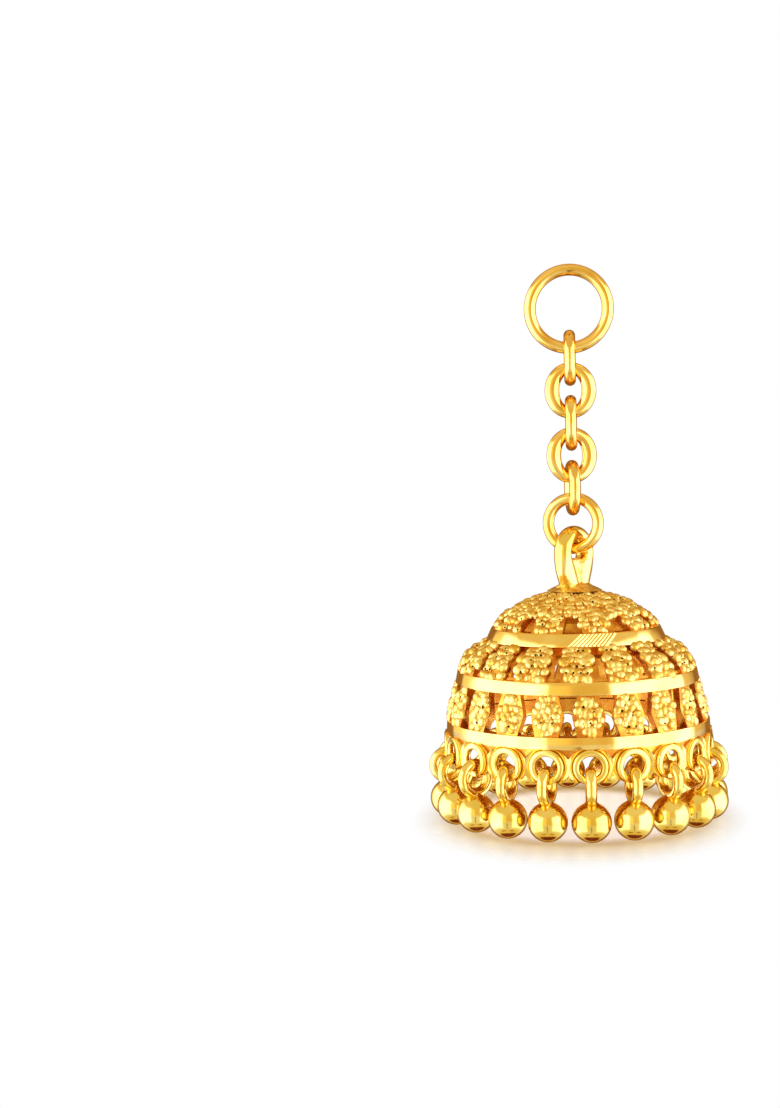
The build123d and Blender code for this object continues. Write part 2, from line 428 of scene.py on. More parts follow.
def stacked_ovals(rows: Sequence[Triple], sides: int) -> np.ndarray:
    """Stack level ovals into an upright form.

    Args:
        rows: Half width along X, half width along Y and depth of each oval, from the top down.
        sides: Corners of each oval.

    Returns:
        Sections by corners by x, y and z, from the foot up.
    """
    spins = np.linspace(0, 2 * math.pi, sides, endpoint=False)
    circle = np.stack([np.cos(spins), np.sin(spins), np.ones(sides)], 1)
    return np.array([circle * [across, through, -depth] for across, through, depth in rows[::-1]])


def dome(tilts: np.ndarray, sides: int) -> tuple[np.ndarray, list[Face]]:
    """Make the skin of a ball of radius one, from its pole down.

    Args:
        tilts: Angle from the pole to each ring of corners, in radians.
        sides: Corners of each ring.

    Returns:
        Its points, the pole first, and its faces, open below the last ring.
    """
    spins = np.linspace(0, 2 * math.pi, sides, endpoint=False)
    tilt, spin = np.meshgrid(tilts, spins, indexing="ij")
    rings = np.stack([np.sin(tilt) * np.cos(spin), np.sin(tilt) * np.sin(spin), np.cos(tilt)], -1)
    faces: list[Face] = []
    for j in range(sides):
        k = (j + 1) % sides
        faces.append((0, 1 + j, 1 + k))
        for above in range(1, 1 + (len(tilts) - 1) * sides, sides):
            below = above + sides
            faces.append((above + j, below + j, below + k, above + k))
    return np.concatenate([[[0, 0, 1]], rings.reshape(-1, 3)]), faces


def ball(rings: int, sides: int) -> tuple[np.ndarray, list[Face]]:
    """Make a round ball of radius one.

    Args:
        rings: Rings of faces from pole to pole.
        sides: Faces in each ring.

    Returns:
        Its points and faces.
    """
    points, faces = dome(np.linspace(0, math.pi, rings + 1)[1:-1], sides)
    pole, lowest = len(points), len(points) - sides
    faces += [(pole, lowest + (j + 1) % sides, lowest + j) for j in range(sides)]
    return np.concatenate([points, [[0, 0, -1]]]), faces


@dataclass(frozen=True)
class Profile:
    """The line that a wall of the bell follows from its top down, as radius and depth."""

    radii: np.ndarray
    depths: np.ndarray
    lengths: np.ndarray
    slope_reach: float = 0.05  # share of the line, to each side of a place, over which its slope is taken

    @classmethod
    def through(cls, points: Sequence[Pair], steps: int = 12) -> "Profile":
        """Draw a smooth line through a few points.

        Args:
            points: Radius and depth of each.
            steps: Points worked out between two of them.

        Returns:
            The profile.
        """
        # a Catmull-Rom curve, which runs on straight past its ends
        knots = np.array([points[0], *points, points[-1]], float)
        knots[0] = 2 * knots[1] - knots[2]
        knots[-1] = 2 * knots[-2] - knots[-3]
        line = []
        for i in range(1, len(knots) - 2):
            a, b, c, d = knots[i - 1 : i + 3]
            bend, twist = 2 * a - 5 * b + 4 * c - d, 3 * b - a - 3 * c + d
            for t in np.linspace(0, 1, steps, endpoint=False):
                line.append(0.5 * (2 * b + (c - a) * t + bend * t**2 + twist * t**3))
        line.append(knots[-2])
        path = np.array(line)
        runs = np.linalg.norm(np.diff(path, axis=0), axis=1)
        return cls(path[:, 0], path[:, 1], np.concatenate([[0.0], np.cumsum(runs)]))

    @property
    def length(self) -> float:
        """Length of the whole line."""
        return float(self.lengths[-1])

    def radius(self, along: Places) -> Places:
        """Radius at a place or places along the line."""
        return np.interp(along, self.lengths, self.radii)

    def down_to(self, depth: float) -> float:
        """Distance down the line to a depth."""
        return float(np.interp(depth, self.depths, self.lengths))

    def turn(self, width: Places, along: Places) -> Places:
        """Degrees that a width takes up round the bell at a place or places along the line."""
        return np.degrees(width / self.radius(along))

    def place(self, along: Places, azimuth: Places, lift: Places) -> np.ndarray:
        """Find points on or off the wall.

        Args:
            along: Distance down the line.
            azimuth: Degrees from the front.
            lift: Distance outwards, square to the wall.

        Returns:
            Rows of x, y and z, from the pivot.
        """
        reach = self.slope_reach * self.length
        before, after = np.clip(along - reach, 0, self.length), np.clip(along + reach, 0, self.length)
        run = self.radius(after) - self.radius(before)
        drop = np.interp(after, self.lengths, self.depths) - np.interp(before, self.lengths, self.depths)
        size = np.hypot(run, drop)
        radius = self.radius(along) + lift * drop / size
        height = lift * run / size - np.interp(along, self.lengths, self.depths)
        angle = np.radians(azimuth)
        return np.stack(np.broadcast_arrays(radius * np.sin(angle), -radius * np.cos(angle), height), -1)


@dataclass(frozen=True)
class Granulation:
    """The granules of one part of the wall, and the pinholes left between them."""

    radius: float  # of a middling granule
    sizes: Pair  # shares of that radius, of the smallest and the largest
    sink: float  # share of its own radius that a granule is sunk
    lifts: Pair  # how much lower and higher than that a granule may sit
    pinhole_radius: float
    pinhole_share: float  # of the places for a pinhole, how many have one

    def size(self, draw: np.random.Generator) -> float:
        """Draw one granule's radius."""
        return self.radius * draw.uniform(*self.sizes)

    def lift(self, size: float, draw: np.random.Generator) -> float:
        """Draw how far the middle of a granule of one size stands off the wall."""
        return draw.uniform(*self.lifts) - self.sink * size

    def pinhole(self, draw: np.random.Generator) -> bool:
        """Draw whether there is a pinhole."""
        return draw.random() < self.pinhole_share


@dataclass
class Wall:
    """A wall of the bell, on which plates, hoops and granules are laid."""

    shell: Shell
    profile: Profile
    outer: float  # lift of the outside face
    draw: np.random.Generator  # source of the small unevenness of a casting
    thickness: float = 0.60
    hoop_sides: int = 120
    skirt: float = 105.0  # degrees from a granule's crown to its foot
    flatness: float = 0.80  # height of a granule, as a share of its width
    squash: Pair = (0.85, 1.18)  # how much a granule is drawn out to an oval
    pinhole_lift: float = 0.12

    def section(self, along: np.ndarray, azimuth: np.ndarray, sink: float) -> tuple[np.ndarray, np.ndarray]:
        """Find points on both faces of the wall.

        Args:
            along: Places along the profile.
            azimuth: Their azimuths.
            sink: How far the outside lies below the wall's own.

        Returns:
            Points on the outside and on the inside.
        """
        outside = self.profile.place(along, azimuth, self.outer - sink)
        return outside, self.profile.place(along, azimuth, self.outer - self.thickness)

    def plate(
        self,
        along: np.ndarray,
        left: np.ndarray,
        right: np.ndarray,
        sink: float = 0.0,
        columns: int = 6,
    ) -> None:
        """Lay one plate of the wall between two edges.

        Args:
            along: Places along the profile, from the plate's top to its bottom.
            left: Azimuth of its left edge at each place.
            right: And of its right edge.
            sink: How far its outside lies below the wall's own.
            columns: Columns of faces.
        """
        share = np.linspace(0, 1, columns + 1)
        azimuth = left[:, None] * (1 - share) + right[:, None] * share
        outside, inside = self.section(np.broadcast_to(along[:, None], azimuth.shape), azimuth, sink)
        sections = np.concatenate([outside, inside[:, ::-1]], axis=1)
        # the plates wear the cast ground, whose deep orange is partly painted shade
        self.shell.loft(sections[::-1], Coat.CAST_GROUND)

    def hoop(self, along: np.ndarray, sink: float = 0.0) -> None:
        """Lay a full turn of the wall.

        Args:
            along: Places along the profile, from its top to its bottom.
            sink: How far its outside lies below the wall's own.
        """
        sections = []
        for azimuth in np.linspace(0, 360, self.hoop_sides, endpoint=False):
            outside, inside = self.section(along, np.full_like(along, azimuth), sink)
            sections.append(np.concatenate([outside, inside[::-1]]))
        # the hoops wear the cast ground, whose deep orange is partly painted shade
        self.shell.loft(np.array(sections), Coat.CAST_GROUND, closed=True)

    def granule(
        self,
        along: float,
        azimuth: float,
        radius: float,
        lift: float,
        coat: Coat = Coat.CAST_GRANULES,
        rings: int = 5,
    ) -> None:
        """Set one granule on the wall, sunk past its middle.

        Args:
            along: Where its middle lies along the profile.
            azimuth: And round the bell.
            radius: Its radius.
            lift: How far its middle stands off the wall's outside.
            coat: The finish that it wears.
            rings: Rings of faces from crown to foot.
        """
        sides = 3 * rings
        foot, off = self.profile.place(along, azimuth, np.array([self.outer, self.outer + 1]))
        normal = off - foot
        angle = math.radians(azimuth)
        across = np.array([math.cos(angle), math.sin(angle), 0.0])
        down = np.cross(normal, across)
        skin, faces = dome(np.linspace(0, math.radians(self.skirt), rings + 1)[1:], sides)
        squash, twist = self.draw.uniform(*self.squash), self.draw.uniform(0, 180)
        local = turned(skin * [squash, 1 / squash, self.flatness], twist) * radius
        points = foot + normal * lift + local @ np.array([across, down, normal])
        faces.append(tuple(range(len(points) - sides, len(points)))[::-1])
        self.shell.add(points, faces, coat)

    def pinhole(self, along: float, azimuth: float, radius: float) -> None:
        """Set the painted shade of one pinhole between granules, a dull dark dot.

        Args:
            along: Where it lies along the profile.
            azimuth: And round the bell.
            radius: Its radius.
        """
        self.granule(along, azimuth, radius, self.pinhole_lift, Coat.RESIDUE, rings=2)


# ---- chain --------------------------------------------------------------------------------------


@dataclass
class WireRing:
    """A round ring of round wire that stands upright."""

    coats: Coats
    name: str
    node: str
    turn: float = 0.0
    steps: int = 144
    sides: int = 32

    def build(self) -> bpy.types.Object:
        """Build the ring where its node lies, with the size that the node's box gives.

        Returns:
            The ring's piece.
        """
        low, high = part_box(self.node)
        outer, depth = (high.z - low.z) / 2 / MM, (high.y - low.y) / MM
        # turned, the ring is 2 * ((outer - wire) * slant + wire) deep, which gives half its wire's thickness
        slant = abs(math.sin(math.radians(self.turn)))
        wire = (depth - 2 * outer * slant) / (1 - slant) / 2
        shell = Shell(self.coats)
        line = oval(outer - wire, outer - wire, self.steps)
        sections = bent_wire(line, np.full(self.steps, wire), wire, self.sides)
        shell.loft(turned(sections, self.turn), Coat.DRAWN_WIRE, closed=True)
        return shell.piece(self.name, Body.CHAIN, (low + high) / 2, self.node)


@dataclass
class OvalLink:
    """A chain link pressed from round wire, fuller at its sides than at its ends."""

    coats: Coats
    number: int
    turn: float
    half_width: float = 1.46  # of the wire's middle line
    half_height: float = 1.77
    side_wire: float = 0.58  # half thickness in the link's plane
    end_wire: float = 0.445
    taper: float = 1.6  # how quickly the wire thins from the sides to the ends
    across: float = 0.46
    steps: int = 96
    sides: int = 28

    def build(self) -> bpy.types.Object:
        """Build the link where its node lies.

        Returns:
            The link's piece.
        """
        node = f"chain_link_{self.number}"
        low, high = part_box(node)
        line = oval(self.half_width, self.half_height, self.steps)
        side_share = np.abs(line[:, 0] / self.half_width) ** self.taper
        radial = self.end_wire + (self.side_wire - self.end_wire) * side_share
        shell = Shell(self.coats)
        sections = bent_wire(line, radial, self.across, self.sides)
        shell.loft(turned(sections, self.turn), Coat.DRAWN_WIRE, closed=True)
        return shell.piece(f"link_{self.number}", Body.CHAIN, (low + high) / 2, node)


@dataclass
class Chain:
    """The top ring, the five links and the jump ring."""

    coats: Coats
    link_turns: tuple[float, ...] = (90, 0, 90, 14, 98)
    jump_ring_turn: float = -12.0

    def build(self) -> list[bpy.types.Object]:
        """Build the chain.

        Returns:
            Its pieces.
        """
        parts: list[WireRing | OvalLink] = [WireRing(self.coats, "hanging_ring", "top_ring")]
        parts += [OvalLink(self.coats, i + 1, turn) for i, turn in enumerate(self.link_turns)]
        parts.append(WireRing(self.coats, "bell_jump_ring", "jump_ring", self.jump_ring_turn, steps=112))
        return [part.build() for part in parts]


# ---- bell ---------------------------------------------------------------------------------------


@dataclass
class BellPart:
    """A part of the bell, shaped in millimetres from the bell's pivot."""

    coats: Coats
    pivot: Vector  # in metres


@dataclass(frozen=True)
class Band:
    """Radius and depth of the edges of a plain band."""

    upper: Pair
    lower: Pair

    def middle(self) -> Pair:
        """Radius and depth halfway down the band."""
        return ((self.upper[0] + self.lower[0]) / 2, (self.upper[1] + self.lower[1]) / 2)


COLLAR = Band((6.70, 6.15), (7.16, 7.14))
BELT = Band((9.50, 9.48), (9.70, 10.46))
RIM = Band((10.44, 13.46), (10.50, 14.41))
TUCK = 0.4  # how far a pierced row runs on behind the bands at its ends
FRINGE_COUNT = 20  # rings in the fringe, each with a drop below it and a cluster above it
FRINGE_START = 5.0  # azimuth of the first of them
FRINGE_REACH = 10.40  # from the bell's axis to the middle of rings and drops


@dataclass
class Bands(BellPart):
    """The diamond-cut bands, with a patch of slanting cuts on the front of the collar."""

    facets: int = 26
    facet_steps: int = 10
    first_edge: float = 2.0
    flatness: float = 0.40  # from round at 0 to fully flat facets at 1
    thickness: float = 0.85
    chamfer: float = 0.07
    rounding: float = 0.3  # how far the middle of a rounded corner lies in, in chamfers
    skin: float = 0.06  # half thickness of the cast skin left inside a band
    cut_count: int = 10
    cut_start: float = -4.0
    cut_pitch: float = 2.5
    cut_slant: float = 8.0
    cut_steps: int = 8
    cut_reach: Pair = (0.95, 0.05)  # shares of the collar's width where a cut starts and ends
    cut_half_width: float = 0.135
    cut_height: float = 0.10
    cut_seat: float = 0.79  # share of a facet's sag that the cuts follow

    # a ridge between two cuts, across in half widths and up in heights: steep on its left and gentle on
    # its right
    ridge: tuple[Pair, ...] = ((-1.0, -0.6), (1.0, -0.6), (1.0, 0.0), (-0.7, 1.0), (-1.0, 0.8))

    def sag(self, azimuth: float) -> float:
        """Share of the radius that a facet lies inside the round at one place.

        Args:
            azimuth: Where it is.

        Returns:
            The share.
        """
        step = 360 / self.facets
        off_middle = (azimuth - self.first_edge) % step - step / 2
        flat = math.cos(math.radians(step / 2)) / math.cos(math.radians(off_middle))
        return self.flatness * (1 - flat)

    def section(self, band: Band, azimuth: float) -> np.ndarray:
        """Work out the band's section at one place.

        Args:
            band: The band.
            azimuth: Where it is.

        Returns:
            Rows of x, y and z.
        """
        (top_r, top_d), (low_r, low_d) = band.upper, band.lower
        lean = (low_r - top_r) / (low_d - top_d)
        c, inset = self.chamfer, self.rounding * self.chamfer
        outline = [
            (top_r - c, top_d),
            (top_r - inset, top_d + inset),
            (top_r + lean * c, top_d + c),
            (low_r - lean * c, low_d - c),
            (low_r - inset, low_d - inset),
            (low_r - c, low_d),
            (low_r - self.thickness, low_d),
            (top_r - self.thickness, top_d),
        ]
        share = 1 - self.sag(azimuth)
        return upright([(share * radius, depth) for radius, depth in outline], azimuth)

    def lining(self, band: Band, azimuth: float) -> np.ndarray:
        """Work out the section of the cast skin inside a band, which the polish does not reach and whose deep
        colour is partly painted shade.

        Args:
            band: The band.
            azimuth: Where it is.

        Returns:
            Rows of x, y and z.
        """
        sides = ((band.upper, 1), (band.lower, 1), (band.lower, -1), (band.upper, -1))
        outline = [(radius - self.thickness + side * self.skin, depth) for (radius, depth), side in sides]
        return upright(outline, azimuth)

    def slanting_cuts(self, shell: Shell) -> None:
        """Raise the ridges left between the slanting cuts on the collar.

        Args:
            shell: The shell that takes them.
        """
        wall = Profile.through([COLLAR.upper, COLLAR.lower], steps=4)
        for i in range(self.cut_count):
            start = self.cut_start + i * self.cut_pitch
            azimuths = np.linspace(start, start + self.cut_slant, self.cut_steps + 1)
            sections = []
            for azimuth, share in zip(azimuths, np.linspace(*self.cut_reach, self.cut_steps + 1)):
                along = wall.length * share
                sunk = wall.radius(along) * self.sag(azimuth) * self.cut_seat
                wide = wall.turn(self.cut_half_width, along)
                turns, lifts = np.array(self.ridge).T * [[wide], [self.cut_height]]
                sections.append(wall.place(along, azimuth + turns, lifts - sunk))
            shell.loft(np.array(sections)[:, ::-1], Coat.DIAMOND_CUT, shade=Shade.FLAT)

    def build(self) -> bpy.types.Object:
        """Build the three bands.

        Returns:
            The bands' piece.
        """
        shell = Shell(self.coats)
        around = np.linspace(0, 360, self.facets * self.facet_steps, endpoint=False)
        for band in (COLLAR, BELT, RIM):
            sections = np.array([self.section(band, azimuth) for azimuth in around])
            shell.loft(sections, Coat.DIAMOND_CUT, closed=True)
            linings = np.array([self.lining(band, azimuth) for azimuth in around])
            # the linings cover the bands' inner faces with the cast ground, whose deep orange is partly
            # painted shade
            shell.loft(linings, Coat.CAST_GROUND, closed=True)
        self.slanting_cuts(shell)
        return shell.piece("bell_cut_bands", Body.BELL, self.pivot, "bell")


@dataclass
class Cap(BellPart):
    """The granulated crown of the bell, with ten gaps above the collar."""

    line: tuple[Pair, ...] = (
        (1.15, 2.70),
        (1.62, 3.22),
        (2.30, 3.54),
        (3.00, 3.80),
        (4.20, 4.24),
        (5.10, 4.74),
        (5.80, 5.26),
        (6.28, 5.76),
    )
    outer: float = -0.12
    seed: int = 11
    gap_count: int = 10
    gap_azimuth: float = -2.0
    gap_length: float = 1.75
    gap_top: float = 1.05
    gap_bottom: float = 1.60
    gap_spare: float = 0.10  # how far granules stay off the gaps to each side
    gap_headroom: float = 0.15  # and above
    lap: float = 0.02  # of the plates between the gaps under the crown's closed part
    tuck: float = 0.3  # how far they run on behind the collar
    hoop_rows: int = 16
    plate_rows: int = 8
    granulation: Granulation = Granulation(0.34, (0.70, 1.45), 0.27, (-0.06, 0.10), 0.09, 0.16)
    pitch: float = 0.50
    spacing: float = 1.04  # of the granules in a row, in pitches
    scatter: float = 0.36  # how far a granule strays from its place, in pitches
    first_row: float = 0.58  # along the profile, to the first row of granules

    def gap_half_width(self, profile: Profile, along: Places, spare: float = 0.0) -> Places:
        """Half the width of a gap, in degrees.

        Args:
            profile: The crown's profile.
            along: Place or places along it.
            spare: Extra half width in millimetres.

        Returns:
            The half width at each place.
        """
        share = (along - (profile.length - self.gap_length)) / self.gap_length
        return profile.turn((self.gap_top + (self.gap_bottom - self.gap_top) * share) / 2 + spare, along)

    def build(self) -> bpy.types.Object:
        """Build the crown.

        Returns:
            The crown's piece.
        """
        shell = Shell(self.coats)
        profile = Profile.through([*self.line, COLLAR.upper])
        wall = Wall(shell, profile, self.outer, np.random.default_rng(self.seed))
        gap_start = profile.length - self.gap_length
        wall.hoop(np.linspace(0, gap_start, self.hoop_rows + 1))
        along = np.linspace(gap_start - self.lap, profile.length + self.tuck, self.plate_rows + 1)
        half_gap = self.gap_half_width(profile, along)
        step = 360 / self.gap_count
        for i in range(self.gap_count):
            gap = self.gap_azimuth + i * step
            wall.plate(along, gap + half_gap, gap + step - half_gap)
        self.granulate(wall)
        return shell.piece("bell_crown", Body.BELL, self.pivot, "bell")

    def in_gap(self, profile: Profile, along: float, azimuth: float) -> bool:
        """Tell whether a place lies in one of the gaps or close beside it.

        Args:
            profile: The crown's profile.
            along: The place along it.
            azimuth: And round the bell.

        Returns:
            Whether it does.
        """
        if along <= profile.length - self.gap_length - self.gap_headroom:
            return False
        step = 360 / self.gap_count
        off = (azimuth - self.gap_azimuth + step / 2) % step - step / 2
        return bool(abs(off) < self.gap_half_width(profile, along, self.gap_spare))

    def granulate(self, wall: Wall) -> None:
        """Cover the crown with rows of granules, leaving the gaps open.

        Args:
            wall: The crown's wall.
        """
        profile, draw, kind = wall.profile, wall.draw, self.granulation
        for row in range(int((profile.length - self.first_row) / self.pitch)):
            along = self.first_row + row * self.pitch
            count = int(2 * math.pi * profile.radius(along) / (self.pitch * self.spacing))
            for i in range(count):
                azimuth = (i + 0.5 * (row % 2) + draw.uniform(-self.scatter, self.scatter)) * 360 / count
                spot = along + draw.uniform(-self.scatter, self.scatter) * self.pitch
                size = kind.size(draw)
                if self.in_gap(profile, along, azimuth):
                    continue
                wall.granule(spot, azimuth, size, kind.lift(size, draw))
                if kind.pinhole(draw):
                    wall.pinhole(spot + self.pitch / 3, azimuth + 180 / count, kind.pinhole_radius)


@dataclass
class UpperRow(BellPart):
    """The sixteen cells between collar and belt: a granulated pad, a plain strip and a slot."""

    middle: Pair = (8.60, 8.10)
    outer: float = -0.14
    seed: int = 23
    cells: int = 16
    slot_azimuth: float = 13.2
    slot_width: float = 0.60
    slot_length: float = 2.55
    strip_width: float = 0.50
    strip_sink: float = 0.28
    frame_sink: float = 0.22  # of the hoops above and below the slots
    strip_lap: Pair = (0.10, 0.02)  # of a strip over the hoops, and under the pad beside it
    hoop_rows: int = 3
    pad_rows: int = 10
    strip_rows: int = 8
    granulation: Granulation = Granulation(0.40, (0.72, 1.35), 0.28, (-0.05, 0.08), 0.095, 0.55)
    columns: int = 5
    rows: int = 6
    side_margin: float = 0.16  # from a pad's side to the middle of the nearest granule
    margins: Pair = (0.14, 0.40)  # and from the bands above and below it
    scatter: float = 0.3  # how far a granule strays from its place, in pitches

    def build(self) -> bpy.types.Object:
        """Build the row.

        Returns:
            The row's piece.
        """
        shell = Shell(self.coats)
        profile = Profile.through([COLLAR.middle(), COLLAR.lower, self.middle, BELT.upper, BELT.middle()])
        wall = Wall(shell, profile, self.outer, np.random.default_rng(self.seed))
        top, bottom = profile.down_to(COLLAR.lower[1]), profile.down_to(BELT.upper[1])
        slot_top = (top + bottom - self.slot_length) / 2
        slot_bottom = slot_top + self.slot_length
        for start, end in ((top - TUCK, slot_top), (slot_bottom, bottom + TUCK)):
            wall.hoop(np.linspace(start, end, self.hoop_rows + 1), self.frame_sink)
        step = 360 / self.cells
        for i in range(self.cells):
            slots = (self.slot_azimuth + i * step, self.slot_azimuth + (i + 1) * step)
            self.cell(wall, slots, (top, bottom), (slot_top, slot_bottom))
            self.granulate(wall, slots, (top, bottom))
        return shell.piece("bell_upper_row", Body.BELL, self.pivot, "bell")

    def cell(self, wall: Wall, slots: Pair, ends: Pair, slot_ends: Pair) -> None:
        """Lay the pad and the strip of one cell, from a slot's right edge to the next slot's left edge.

        Args:
            wall: The row's wall.
            slots: Azimuths of the slots on its left and right.
            ends: Where the row starts and ends along the profile.
            slot_ends: Where the slots start and end.
        """
        turn = wall.profile.turn
        half, (over, under) = self.slot_width / 2, self.strip_lap
        strip = half + self.strip_width
        pad = np.linspace(ends[0] - TUCK, ends[1] + TUCK, self.pad_rows + 1)
        wall.plate(pad, slots[0] + turn(half, pad), slots[1] - turn(strip, pad))
        bar = np.linspace(slot_ends[0] - over, slot_ends[1] + over, self.strip_rows + 1)
        left, right = slots[1] - turn(strip + under, bar), slots[1] - turn(half, bar)
        wall.plate(bar, left, right, self.strip_sink, columns=2)

    def granulate(self, wall: Wall, slots: Pair, ends: Pair) -> None:
        """Cover the pad of one cell with granules.

        Args:
            wall: The row's wall.
            slots: Azimuths of the slots on the cell's left and right.
            ends: Where the row starts and ends along the profile.
        """
        draw, kind = wall.draw, self.granulation
        margin = self.slot_width / 2 + self.side_margin
        last = self.rows - 1
        rise = (ends[1] - ends[0] - sum(self.margins)) / last
        for row in range(self.rows):
            along = ends[0] + self.margins[0] + row * rise
            left = slots[0] + wall.profile.turn(margin, along)
            right = slots[1] - wall.profile.turn(margin + self.strip_width, along)
            pitch = (right - left) / (self.columns - 1)
            count, inset = self.columns - row % 2, pitch / 2 * (row % 2)
            for i, azimuth in enumerate(np.linspace(left + inset, right - inset, count)):
                size = kind.size(draw)
                shift = draw.uniform(-self.scatter, self.scatter) * pitch
                slip = draw.uniform(-self.scatter, self.scatter) * rise
                wall.granule(along + slip, azimuth + shift, size, kind.lift(size, draw))
                if row < last and i < count - 1 and kind.pinhole(draw):
                    wall.pinhole(along + rise / 3, azimuth + pitch / 2, kind.pinhole_radius)


@dataclass
class LowerRow(BellPart):
    """The twenty six-sided granule clusters between belt and rim."""

    outer: float = -0.14
    seed: int = 37
    cells: int = FRINGE_COUNT
    first: float = FRINGE_START
    gap_waist: float = 0.62
    gap_end: float = 1.45
    plate_rows: int = 12
    granulation: Granulation = Granulation(0.385, (0.72, 1.32), 0.28, (-0.05, 0.08), 0.095, 0.55)
    counts: tuple[int, ...] = (2, 3, 4, 3, 4, 3, 2)
    pitch: float = 0.53
    row_pitch: float = 0.77  # in pitches
    rise: float = 0.08  # of a cluster above the middle of its plate
    scatter: Pair = (0.28, 0.13)  # how far a granule strays, round the bell in pitches and down it
    pinhole_drop: float = 0.27  # from a granule to the pinhole beside it, in pitches

    def gap_half_width(self, profile: Profile, ends: Pair, along: np.ndarray) -> np.ndarray:
        """Half the width of a gap, in degrees.

        Args:
            profile: The row's profile.
            ends: Where the row starts and ends along it.
            along: Places along it.

        Returns:
            The half width at each place.
        """
        centre, reach = sum(ends) / 2, (ends[1] - ends[0]) / 2
        share = np.clip(np.abs(along - centre) / reach, 0, 1)
        return profile.turn((self.gap_waist + (self.gap_end - self.gap_waist) * share) / 2, along)

    def build(self) -> bpy.types.Object:
        """Build the row.

        Returns:
            The row's piece.
        """
        shell = Shell(self.coats)
        profile = Profile.through([BELT.middle(), BELT.lower, RIM.upper, RIM.middle()])
        wall = Wall(shell, profile, self.outer, np.random.default_rng(self.seed))
        ends = (profile.down_to(BELT.lower[1]), profile.down_to(RIM.upper[1]))
        along = np.linspace(ends[0] - TUCK, ends[1] + TUCK, self.plate_rows + 1)
        half_gap = self.gap_half_width(profile, ends, along)
        half_step = 180 / self.cells
        for i in range(self.cells):
            azimuth = self.first + 2 * i * half_step
            wall.plate(along, azimuth - half_step + half_gap, azimuth + half_step - half_gap)
            self.cluster(wall, azimuth, sum(ends) / 2)
        return shell.piece("bell_lower_row", Body.BELL, self.pivot, "bell")

    def cluster(self, wall: Wall, azimuth: float, centre: float) -> None:
        """Set one six-sided cluster of granules.

        Args:
            wall: The row's wall.
            azimuth: Where its middle lies round the bell.
            centre: Where the middle of its plate lies along the profile.
        """
        draw, kind = wall.draw, self.granulation
        stray, slip = self.scatter
        last = len(self.counts) - 1
        for row, count in enumerate(self.counts):
            along = centre + (row - last / 2) * self.pitch * self.row_pitch - self.rise
            wide = wall.profile.turn(self.pitch, along)
            for i in range(count):
                spot = azimuth + (i - (count - 1) / 2 + draw.uniform(-stray, stray)) * wide
                size = kind.size(draw)
                lift = kind.lift(size, draw)
                wall.granule(along + draw.uniform(-slip, slip), spot, size, lift)
                if row < last and i < count - 1 and kind.pinhole(draw):
                    wall.pinhole(along + self.pitch * self.pinhole_drop, spot + wide / 2, kind.pinhole_radius)


@dataclass
class Bail(BellPart):
    """The egg-shaped bail, the casting that closes its foot, and the neck that it stands on."""

    limb: float = 1.18
    width: float = 1.45
    top_radius: float = 1.60
    foot_radius: float = 0.72
    drop: float = 2.26
    play: float = 0.18
    swell: float = 0.34  # extra half thickness of the limbs under the jump ring
    swell_ends: Pair = (-0.40, -1.65)  # heights between which it grows
    jump_ring_wire: float = 0.90
    turn: float = 57.0
    bend_steps: int = 40  # points on the larger bend; the smaller one has half as many
    side_steps: int = 13
    limb_sides: int = 32
    web_sides: int = 32
    neck_sides: int = 48

    # the casting that closes the lower part of the bail: depth, and half thickness across the bail
    web_line: tuple[Pair, ...] = (
        (0.78, 0.12),
        (0.84, 0.32),
        (0.96, 0.44),
        (1.30, 0.52),
        (2.00, 0.60),
        (2.90, 0.66),
    )
    web_depths: Pair = (0.40, 2.64)  # between which it narrows in the bail's plane
    web_half_widths: Pair = (1.50, 0.70)

    # radius and depth down the neck
    neck: tuple[Pair, ...] = ((0.52, 2.66), (0.90, 2.78), (1.30, 2.92), (1.74, 3.10), (2.20, 3.34))

    def egg(self) -> np.ndarray:
        """Draw the middle line of the bail's limb.

        Returns:
            Rows of x and z.
        """
        taper = math.asin((self.top_radius - self.foot_radius) / self.drop)
        over = np.linspace(-taper, math.pi + taper, self.bend_steps)
        under = np.linspace(math.pi + taper, 2 * math.pi - taper, self.bend_steps // 2)
        top = np.stack([np.cos(over), np.sin(over)], 1) * self.top_radius
        foot = np.stack([np.cos(under), np.sin(under)], 1) * self.foot_radius - [0, self.drop]
        side = np.linspace(0, 1, self.side_steps + 1)[1:-1, None]
        left = top[-1] * (1 - side) + foot[0] * side
        right = foot[-1] * (1 - side) + top[0] * side
        return np.concatenate([top, left, foot, right])

    def build(self) -> bpy.types.Object:
        """Build the bail and the neck.

        Returns:
            The bail's piece.
        """
        shell = Shell(self.coats)
        line = self.egg() + [0, self.jump_ring_wire / 2 + self.play + self.limb / 2 - self.top_radius]
        start, end = self.swell_ends
        low_down = np.clip((start - line[:, 1]) / (start - end), 0, 1)
        half = self.limb / 2 + self.swell * low_down**2 * (3 - 2 * low_down)
        sections = bent_wire(line, half, self.width / 2, self.limb_sides)
        shell.loft(turned(sections, self.turn), Coat.BARREL_POLISHED, closed=True)
        reach = np.interp([depth for depth, _ in self.web_line], self.web_depths, self.web_half_widths)
        rows = [(wide, thick, depth) for wide, (depth, thick) in zip(reach, self.web_line)]
        web = stacked_ovals(rows, self.web_sides)
        shell.loft(turned(web, self.turn), Coat.CAST_GRANULES)
        flare = Profile.through(self.neck, steps=5)
        rows = [(radius, radius, depth) for radius, depth in zip(flare.radii, flare.depths)]
        neck = stacked_ovals(rows, self.neck_sides)
        shell.loft(neck, Coat.CAST_GRANULES)
        return shell.piece("bell_bail", Body.BELL, self.pivot, "bell")


